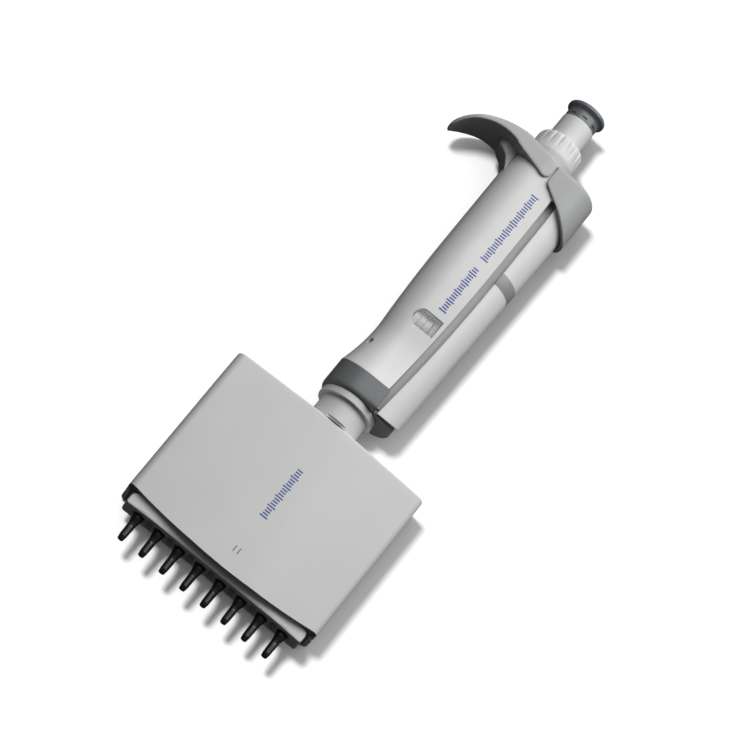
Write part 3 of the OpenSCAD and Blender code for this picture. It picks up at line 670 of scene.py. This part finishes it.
def make_housing():
    """Front and back covers, cut from one shell at the parting plane."""
    half_space = rectangle(-BEYOND, 0, BEYOND, 100)
    covers = [
        ("front", HOUSING_LOW - APRON_DROP - 1, 0.0, (-40, PARTING_F + PARTING_GAP)),
        ("back", HOUSING_LOW, 0.5, (PARTING_F - PARTING_GAP, 40)),
    ]
    for side, low, round_low, other_half in covers:
        shell = column(
            f"housing_{side}", housing_section(0), low, HOUSING_TOP, rows=26,
            round_low=round_low, round_high=0.9,
        )
        cutters = [
            column("cavity", housing_section(WALL), low - 3, HOUSING_TOP - 2, rows=2),
            rod("spigot", SPIGOT_R, 70, 90, 48),
            slab("other_half", half_space, *other_half),
        ]
        if side == "front":
            cutters.append(apron_cutter())
        else:
            cutters += [screw_pocket(s * SCREW_X, level) for s in (-1, 1) for level in SCREW_LEVELS]
        combine(shell, cutters)
        dress(shell, "lower_part", HOUSING, (f"housing_{side}_cover",), sharp=32)


def channel_x(i):
    """Place of a channel across the housing."""
    return (i - (CHANNELS - 1) / 2) * PITCH


def bar_front(x, u, f):
    """Takes the bar's front back to the inside of the front cover."""
    limit = min(BAR_HALF_F, crown(x, HOUSING_LOW) - WALL - 0.25)
    return (x, u, f * limit / BAR_HALF_F if f > 0 else f)


def divided(loop, step):
    """Splits a loop's long sides, so that a warp can bend them."""
    out = []
    for (ax, ay), (bx, by) in zip(loop, loop[1:] + loop[:1]):
        parts = max(1, int(abs(bx - ax) / step))
        out += [(ax + (bx - ax) * k / parts, ay + (by - ay) * k / parts) for k in range(parts)]
    return out


def make_bar():
    """Ejector bar: rounded beam with a hole for each cone, open below between the holes."""
    corners = rectangle(-BAR_HALF, BAR_LOW, BAR_HALF, BAR_HIGH)
    outline = rounded([(x, u, r) for (x, u), r in zip(corners, (1.0, 1.0, 2.2, 2.2))])
    bar = slab("bar", divided(outline, 3), -BAR_HALF_F, BAR_HALF_F, 0.9, bar_front)
    hole = [(0, 5), (2.9, 5), (2.9, BAR_LOW), (2.4, BAR_LOW + 0.5), (2.4, 20), (0, 20)]
    cutters = []
    for i in range(CHANNELS):
        x = channel_x(i)
        cutters.append(lathe("hole", hole, 40, x))
        if i < CHANNELS - 1:
            corners = rectangle(x + BAR_RIB, -TROUGH_HALF_F, x + PITCH - BAR_RIB, TROUGH_HALF_F)
            trough = rounded([(cx, cf, 0.8) for cx, cf in corners], 3)
            cutters.append(prism("trough", trough, BAR_LOW - 3, BAR_LOW + 3.2))
    combine(bar, cutters)
    dress(bar, "ejector_frame", SHELL, ("ejector_bar",), sharp=32)


def make_cones():
    """Black tip cones with fine sealing ribs above the tip."""
    tip = [(0.4, 3.0), (0.4, 0.35), (0.5, 0.1), (0.62, 0.0), (0.9, 0.0), (1.06, 0.08), (1.16, 0.3)]
    ribs = []
    for k in range(7):
        low, land = 1.5 + 0.62 * k, 1.33 + 0.018 * k
        ribs += [(land, low), (land + 0.07, low + 0.16), (land + 0.07, low + 0.34), (land, low + 0.5)]
    taper = [(1.47, 6.2), (1.52, 7.2), (1.62, 7.7), (2.02, 9.3), (2.1, 9.8)]
    flange = [(2.1, 18.7), (3.2, 18.7), (3.4, 18.9), (3.4, 20.3), (3.2, 20.5), (2.1, 20.5)]
    top = [(2.1, 29.8), (1.9, 30.0), (0.7, 30.0), (0.7, 3.0)]
    profile = tip + ribs + taper + flange + top
    for i in range(CHANNELS):
        cone = lathe(f"cone_{i + 1}", profile, 40, channel_x(i), solid_form=False)
        dress(cone, f"cone_{i + 1}", BLACK, (f"tip_cone_{i + 1}",), sharp=50)


# ---------------------------------------------------------------- handle


def handle_r(u):
    """Radius of the handle: wide at its foot, a waist, then the full radius."""
    if u < WAIST_U:
        return R_WAIST + (R_FOOT - R_WAIST) * ((WAIST_U - u) / (WAIST_U - HANDLE_LOW)) ** 2
    if u < FULL_U:
        return R_WAIST + (R_TOP - R_WAIST) * (1 - ((FULL_U - u) / (FULL_U - WAIST_U)) ** 2.2)
    return R_TOP


def seam_x(u):
    """Right-hand edge of the shell."""
    return SEAM_TOP - (((SEAM_BEND - u) / SEAM_OVER) ** 2 if u < SEAM_BEND else 0.0)


def collar_plane(f):
    """Level of the slanted line between shell and collar."""
    return COLLAR_LEFT - (COLLAR_LEFT - COLLAR_FRONT) / R_FOOT * f


def handle_section(depth, edge):
    """D-shaped section: half circle to the left, straight to the seam on the right."""

    def section(u):
        r, x = handle_r(u) - depth, seam_x(u) - depth
        loop = arc(0, 0, r, 90, 270, 40)
        loop += [(x - edge, -r)] + arc(x - edge, -r + edge, edge, -80, 0, 4)
        loop += arc(x - edge, r - edge, edge, 0, 80, 4) + [(x - edge, r)]
        return loop

    return section


def make_handle_shell():
    """Body of the handle, with its display window and room for the neck, ring and plug."""

    def slanted(x, u, f):
        share = (u - HANDLE_LOW) / (HANDLE_HIGH - HANDLE_LOW)
        return (x, collar_plane(f) + share * (HANDLE_HIGH - collar_plane(f)), f)

    outside, inside = handle_section(0, 0.55), handle_section(SHELL_WALL, 0.3)
    shell = column("handle_body", outside, HANDLE_LOW, HANDLE_HIGH, rows=46, warp=slanted)
    left, right, middle, height = WINDOW
    r = height / 2
    slot = arc(left + r, middle, r, 90, 270, 18) + [(right, middle - r), (right, middle + r)]
    flare = [(0, 0.0), (9.9, 0.0), (10.6, -0.25), (12, -0.6)]
    rows = [[(x, u, f) for x, u in (inset(slot, d) if d else slot)] for f, d in flare]
    cavity = column("cavity", inside, HANDLE_LOW - 5, HANDLE_HIGH + 4, rows=36)
    pocket = rod("plug_pocket", 1.35, -9, 9, 32)
    turn_to_plug(pocket)
    neck = [(0, 90), (10.1, 90), (10.1, 102.6), (8.4, 102.6), (8.4, 106.4), (0, 106.4)]
    journal = rod("journal_room", 8.6, 205.6, 214, 64)
    combine(shell, [cavity, loft("window", rows), lathe("neck_room", neck, 64), journal, pocket])
    dress(shell, "handle", SHELL, ("handle_shell",), sharp=32)


def turn_to_plug(obj):
    """Moves a form made about the long axis at u = 0 to the adjustment plug's slanted axis."""
    home = row_point(0, 0, 0)
    low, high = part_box("adjustment_plug")
    spot = (low + high) / 2
    outwards = Vector((spot.x, 0, spot.z - home.z)).normalized()
    turn = Vector((0, 1, 0)).rotation_difference(outwards).to_matrix().to_4x4()
    obj.data.transform(Matrix.Translation(spot) @ turn @ Matrix.Translation(-home))


def make_collar():
    """Dark collar below the shell: round on the left, straight across to its opening on the right."""
    foot = [(1.5, 91.25), (0.95, 91.3), (0.45, 91.65), (0.15, 92.2), (0.0, 93.0), (0.0, 96.0)]

    def row(r, level):
        loop = arc(0, 0, r, 90, 270, 60) + [(COLLAR_CUT, -r), (COLLAR_CUT, r)]
        return [(x, level if level else collar_plane(f) - 0.04, f) for x, f in loop]

    collar = loft("collar", [row(R_FOOT - d, u) for d, u in foot] + [row(R_FOOT, None)])
    profile = [(0, 85), (9.6, 85), (9.6, 97.7), (10.15, 98.2), (10.15, 110), (0, 110)]
    combine(collar, [lathe("bore", profile)])
    dress(collar, "handle", DARK, ("handle_collar",), sharp=35)


def panel_x(u):
    """Axis of the ejector panel's curve, which leans out a little upwards."""
    return PANEL_X + (u - PANEL_REF) * math.tan(math.radians(PANEL_LEAN))


def panel_section(u):
    """C-shaped section of the ejector panel, open to the left, with rounded long edges."""
    cx, edge_x = panel_x(u), seam_x(u) + PANEL_EDGE
    outer, inner = PANEL_R, PANEL_R - PANEL_WALL
    tip = 0.55
    a_out = math.degrees(math.acos(max(-1.0, min(1.0, (edge_x + tip * 0.9 - cx) / outer))))
    a_in = math.degrees(math.acos(max(-1.0, min(1.0, (edge_x + tip * 0.6 - cx) / inner))))
    loop = arc(cx, 0, outer, -a_out, a_out, 40)
    fo, fi = outer * math.sin(math.radians(a_out)), inner * math.sin(math.radians(a_in))
    loop += [(edge_x + 0.18, fo - 0.12), (edge_x, fo - 0.5), (edge_x, fi + 0.3)]
    loop += arc(cx, 0, inner, a_in, -a_in, 40)
    loop += [(edge_x, -fi - 0.3), (edge_x, -fo + 0.5), (edge_x + 0.18, -fo + 0.12)]
    return loop


def ring_row(u, r):
    """Loop round the panel's axis at a level."""
    return [(x, u, f) for x, f in circle(panel_x(u), 0, r, 72)]


def make_panel():
    """Ejector panel: long leaning cover with a slanted lower edge and a shallow seat for the inlay."""

    def slanted(x, u, f):
        near = max(0.0, 1 - (u - PANEL_LOW) / 14)
        return (x, u + near * (PANEL_SIDE_LOW - PANEL_FALL * f - PANEL_LOW), f)

    panel = column(
        "ejector_cover", panel_section, PANEL_LOW, PANEL_HIGH, rows=44, round_low=0.35, warp=slanted
    )
    outside = [ring_row(u, PANEL_R + 2) for u in INLAY]
    inside = [ring_row(u, PANEL_R - 0.6) for u in reversed(INLAY)]
    combine(panel, [loft("inlay_seat", outside + inside, capped=False)])
    combine(panel, [prism("lug", rectangle(11.6, -3.5, 20.2, 3.5), 176, 179)], "UNION")
    dress(panel, "ejector_control", SHELL, ("ejector_panel",), sharp=32)


def make_foot():
    """Dark foot of the panel, which presses on the ring round the neck."""
    r = PANEL_R - PANEL_WALL - 0.06
    slant_low = FOOT_LOW + 0.6

    def section(u):
        a = math.degrees(math.acos((FOOT_LEFT - panel_x(u)) / r))
        return arc(panel_x(u), 0, r, -a, a, 40)

    def slanted(x, u, f):
        share = max(0.0, (u - slant_low) / (FOOT_HIGH - slant_low))
        return (x, u + share * (PANEL_SIDE_LOW + 0.95 - PANEL_FALL * f - FOOT_HIGH), f)

    foot = column("foot", section, FOOT_LOW, FOOT_HIGH, rows=4, round_low=0.6, warp=slanted)
    combine(foot, [rod("bore", NECK_R + 0.4, 80, 110)])
    dress(foot, "ejector_control", DARK, ("ejector_foot",), sharp=35)


# ---------------------------------------------------------------- hook, thumb piece and controls


def make_hook():
    """Finger hook with the band round the top of the handle, as one moulded piece."""
    hook = slab("hook", circle(-13, 182.5, 29.5, 200), -14, 14)
    under = slab("under", circle(-19.5, 189.8, 18.05, 160), -15, 15)
    below = slab("below", rectangle(-BEYOND, 100, 40, 198.7), -15, 15)
    beyond = slab("beyond", rectangle(-9.4, 190, BEYOND, 230), -15, 15)
    combine(hook, [under, below, beyond])
    split = THUMB_SPLIT - 0.12
    band = rounded([(-13, 206.3, 0), (split, 200.45, 2.6), (split, 209.0, 0), (-13, 212.2, 0)], 6)
    combine(hook, [slab("band", band, -14, 14)], "UNION")
    combine(hook, [prism("plan", hook_plan(), 190, 220)], "INTERSECT")

    top = prism("top", rectangle(0, -11.1, 9.3, 11.1), HANDLE_HIGH, THUMB_TOP)
    boss = rod("boss", BOSS_R, 206.9, BOSS_TOP, 96)
    combine(hook, [top, boss, gusset()], "UNION")
    shell_room = column("shell_room", handle_section(-0.1, 0.4), 180, HANDLE_HIGH, rows=4)
    combine(hook, [shell_room, rod("journal_room", JOURNAL_R, 190, 220)])
    soften(hook, 22)
    dress(hook, "handle", HOOK, ("finger_hook",), sharp=60)


def gusset():
    """Web between the root of the hook and the shell, narrowing downwards."""
    side = rounded(
        [
            (-19.5, 208.2, 0), (-17.4, 204.6, 2.2), (-13.6, 202.4, 2.6), (-11.5, 199.2, 2.0),
            (-10.1, 195.8, 0), (-9.2, 195.8, 0), (-9.2, 208.4, 0),
        ],
        8,
    )
    plan = rounded([(-18.6, -4.9, 3.6), (-6, -4.6, 0), (-6, 4.6, 0), (-18.6, 4.9, 3.6)], 8)
    return combine(slab("gusset", side, -9, 9), [prism("gusset_plan", plan, 185, 215)], "INTERSECT")


def hook_plan():
    """Plan of band and hook: the band's circle, the hook's tip circle and their tangents."""
    lean = math.degrees(math.asin((BAND_R - HOOK_TIP_R) / -HOOK_TIP_X))
    band = arc(0, 0, BAND_R - 0.02, -90 - lean, 90 + lean, 72)
    return band + arc(HOOK_TIP_X, 0, HOOK_TIP_R, 90 + lean, 270 - lean, 40)


def make_thumb_piece():
    """Thumb piece of the ejector: D-shaped cap with a sloping lower edge."""
    r, split = BAND_R - 0.02, THUMB_SPLIT + 0.12
    plan = arc(THUMB_X, 0, r, -90, 90, 60) + [(-2, r), (-2, -r)]
    thumb = column("thumb_piece", lambda u: plan, 180, THUMB_TOP, rows=6, round_high=1.5, steps=6)
    face = rounded(
        [
            (split, 200.4, 2.6), (21.6, 189.3, 0), (22.6, 188.9, 0), (24, 189.2, 0),
            (26, 191, 0), (26, 215, 0), (split, 215, 0),
        ],
        6,
    )
    combine(thumb, [slab("face", face, -20, 20)], "INTERSECT")
    under = THUMB_TOP - 2
    room = prism("room", rectangle(-5, -11.6, SEAM_TOP + 0.6, 11.6), 170, 230)
    inner = rod("inner", PANEL_R + 0.25, 170, under, cx=PANEL_X)
    below = prism("below", rectangle(9, -11.6, 12, 11.6), 170, under)
    combine(thumb, [room, inner, below, rod("boss", BOSS_R + 0.4, 190, 230)])
    soften(thumb, 14)
    dress(thumb, "ejector_control", MID, ("ejector_thumb_piece",), sharp=60)


def flute(r, u, a):
    """Takes a point of the volume ring's dome into its grip flutes."""
    if r < 7.05 or u < SKIRT_LOW + 1.2:
        return r, u
    rise = min(1.0, max(0.0, u - SKIRT_LOW - 2.2) / 3.6)
    ease = max(0.0, min(1.0, RING_TOP + 0.25 - u))
    wave = max(0.0, math.cos(a * FLUTES)) ** 1.5
    return r - FLUTE_DEPTH * rise * ease * wave, u


def make_ring():
    """Volume ring: journal inside the band, smooth skirt, and a dome with grip flutes."""
    journal_r, shoulder = JOURNAL_R - 0.06, SKIRT_LOW + 0.5
    journal = [(7.2, 202), (7.2, 205.8), (journal_r, 205.8), (journal_r, SKIRT_LOW)]
    skirt = [(RING_R - 0.35, SKIRT_LOW), (RING_R - 0.08, SKIRT_LOW + 0.12)]
    skirt += [(RING_R - 0.04 * k, shoulder + (DOME_LOW - shoulder) * k / 6) for k in range(7)]
    reach = RING_R - 0.24 - 7.15
    dome = [
        (7.15 + reach * math.cos(a), DOME_LOW + (RING_TOP - DOME_LOW) * math.sin(a))
        for a in angles(8, 90, 12)
    ]
    bore = [(6.85, RING_TOP - 0.12), (6.8, RING_TOP - 0.5), (6.8, 204.5), (2.4, 204.5)]
    seat = [(2.4, 203.2), (4.6, 203.2), (4.6, 202.0)]
    profile = journal + skirt + dome + bore + seat
    ring = lathe("ring", profile, FLUTES * 14, solid_form=False, warp=flute)
    dress(ring, "volume_control", PALE, ("volume_ring",), sharp=48)


def make_button():
    """Push button cap with a flared rim and notches in its skirt."""
    inside = [(0, 234.0), (5.62, 234.0), (5.62, 231.7)]
    skirt = [(5.8, RIM_LOW), (6.2, RIM_LOW), (6.35, 231.65), (6.35, 234.6)]
    flare = [(6.42, 235.2), (6.62, 235.5), (6.98, 235.85), (7.36, 236.15), (7.57, 236.35)]
    rim = [(7.65, 236.65), (7.65, 237.25), (7.55, 237.6), (7.3, 237.88), (6.95, 238.0)]
    dish = [(6.4, 237.95), (5.4, 237.7), (3.5, 237.45), (0, 237.35)]
    cap = lathe("cap", inside + skirt + flare + rim + dish, 144)
    notches = []
    for k in range(NOTCHES):
        turn = Matrix.Rotation(math.tau * k / NOTCHES, 2)
        loop = [tuple(turn @ Vector(p)) for p in rectangle(5.95, -1.15, 9, 1.15)]
        notches.append(prism("notch", loop, RIM_LOW - 1, RIM_LOW + 1.7))
    combine(cap, notches)
    dress(cap, "push_button", CAP_GREY, ("button_cap",), sharp=35)


# ---------------------------------------------------------------- springs


def coil(name, node, turns, cx=0.0):
    """Compression spring of the node's size at x = cx, with a closed turn at each end."""
    low, high = (row_mm(corner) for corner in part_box(node))
    wire = SPRING_WIRE[node]
    r = (high.z - low.z) / 2 - wire
    start, end = low.y + wire, high.y - wire
    steps, closed = 28, 0.8
    rise = 2.02 * wire * closed
    rows = []
    for i in range(round(turns * steps) + 1):
        turn = i / steps
        if turn < closed:
            u = start + rise * turn / closed
        elif turn > turns - closed:
            u = end - rise * (turns - turn) / closed
        else:
            u = start + rise + (end - start - 2 * rise) * (turn - closed) / (turns - 2 * closed)
        a = math.tau * turn
        section = [(r + wire * math.cos(b), u + wire * math.sin(b)) for b in angles(0, 324, 9)]
        rows.append([(cx + out * math.cos(a), level, out * math.sin(a)) for out, level in section])
    return loft(name, rows)


def row_mm(point):
    """A row point in millimetres, as (x, u, f)."""
    return Vector((point.x / MM, point.y / MM - LOW_END, point.z / MM - AXIS_F))


def give(spring):
    """Gives the spring its own copy of its mesh."""
    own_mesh(spring)


def make_springs():
    """Return springs of the button and the ejector, and one spring round each cone."""
    main = coil("main_coil", "main_spring", 8)
    dress(main, "handle", SPRING, ("main_spring",))
    give(main)
    low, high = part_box("ejector_spring")
    x = (low.x + high.x) / 2 / MM
    back = coil("ejector_coil", "ejector_spring", 9, x)
    dress(back, "handle", SPRING, ("ejector_spring",))
    give(back)
    for i in range(CHANNELS):
        x = channel_x(i)
        spring = coil(f"cone_coil_{i + 1}", "cone_springs", 3, x)
        dress(spring, "lower_part", SPRING, ("cone_springs",))
        give(spring)


# ---------------------------------------------------------------- printed marks


def dash_form(x, u, wide, tall, surface):
    """Points and faces of one printed dash that stands a hair above a front surface."""
    corners = rectangle(x - wide / 2, u - tall / 2, x + wide / 2, u + tall / 2)
    points = [(px, pu, surface(px, pu) + lift) for lift in (-0.05, 0.03) for px, pu in corners]
    faces = [(0, 1, 2, 3), (4, 5, 6, 7)] + [(i, (i + 1) % 4, 4 + (i + 1) % 4, 4 + i) for i in range(4)]
    return points, faces


def marks(name, body, material, dashes, surface):
    """One piece of printed dashes, each given as (x, u, width, height)."""
    points, faces = [], []
    for dash in dashes:
        more, sides = dash_form(*dash, surface)
        faces += [tuple(len(points) + i for i in side) for side in sides]
        points += more
    dress(solid(name, points, faces), body, material)


def graduation(x, low, high):
    """A plain row of dashes: every fourth one is long."""
    count = int((high - low) / DASH_PITCH)
    levels = [low + (k + 0.5) * DASH_PITCH for k in range(count)]
    return [(x, u, 2.2 if k % 4 else 3.2, DASH_THICK) for k, u in enumerate(levels)]


def handle_front(x, u):
    """Height of the handle's front where its section is straight."""
    return handle_r(u)


def make_marks():
    """Generic graduations on the handle and the housing, and two small dashes."""
    dashes = graduation(4.2, 136.5, 158) + graduation(4.2, 161.5, 195)
    marks("handle_scale", "handle", BLUE_INK, dashes, handle_front)
    marks("housing_scale", "lower_part", BLUE_INK, graduation(1.3, 35.5, 58), crown)
    ticks = [(0.6, 20.6, 0.45, 2.6), (2.4, 20.6, 0.45, 2.6)]
    marks("housing_ticks", "lower_part", GREY_INK, ticks, crown)


# ---------------------------------------------------------------- CAD nodes that stay


def edge_finish():
    """Node group that merges a CAD mesh's doubled points and shades its round faces smooth."""
    group = bpy.data.node_groups.new("cad_finish", "GeometryNodeTree")
    group.interface.new_socket("Geometry", in_out="INPUT", socket_type="NodeSocketGeometry")
    group.interface.new_socket("Geometry", in_out="OUTPUT", socket_type="NodeSocketGeometry")
    nodes, links = group.nodes, group.links
    start, end = nodes.new("NodeGroupInput"), nodes.new("NodeGroupOutput")
    merge = nodes.new("GeometryNodeMergeByDistance")
    merge.inputs["Distance"].default_value = 1e-6
    smooth = nodes.new("GeometryNodeSetShadeSmooth")
    links.new(start.outputs[0], merge.inputs["Geometry"])
    links.new(merge.outputs["Geometry"], smooth.inputs["Geometry"])
    links.new(smooth.outputs["Geometry"], end.inputs[0])
    return group


KEPT = [
    (HOUSING, 0.15, ("swivel_neck",)),
    (PALE, 0.3, ("transfer_ring", "button_stem")),
    (PALE, 0.08, ("mechanism_sleeve", "digit_wheel_tens", "digit_wheel_units", "digit_wheel_tenths")),
    (MID, 0.15, ("ejector_rail", "cylinder_head", "frame_plate", "ejector_yoke", "piston_beam")),
    (MID, 0.05, ("adjustment_plug", "index_strip")),
    (INLAY_GREY, 0.0, ("ejector_inlay",)),
    (DARK, 0.15, ("base_plate", "counter_frame")),
    (RUBBER, 0.05, ("piston_seals",)),
    (CLEAR, 0.0, ("display_lens",)),
    (STEEL, 0.06, (
        "guide_rods", "snap_ring", "housing_screws", "pistons", "piston_clamp_plate", "lower_push_rod",
        "upper_push_rod", "spring_seat", "counter_axle", "counter_shaft", "lead_screw", "volume_nut",
        "ejector_rods", "seal_retainer",
    )),
]


def finish_cad_nodes():
    """Materials, softened edges and smooth shading for the CAD nodes that stay visible."""
    group = edge_finish()
    for material, edge, names in KEPT:
        for name in names:
            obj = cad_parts[name]
            obj.data.materials.clear()
            obj.data.materials.append(material)
            merged = obj.modifiers.new("merged", "NODES")
            merged.node_group = group
            if edge:
                bevel = obj.modifiers.new("edges", "BEVEL")
                bevel.limit_method, bevel.angle_limit = "ANGLE", math.radians(40)
                bevel.width, bevel.segments, bevel.harden_normals = edge * MM, 2, True
            keep_normals(obj)


make_housing()
make_bar()
make_cones()
make_handle_shell()
make_collar()
make_panel()
make_foot()
make_hook()
make_thumb_piece()
make_ring()
make_button()
make_springs()
make_marks()
finish_cad_nodes()
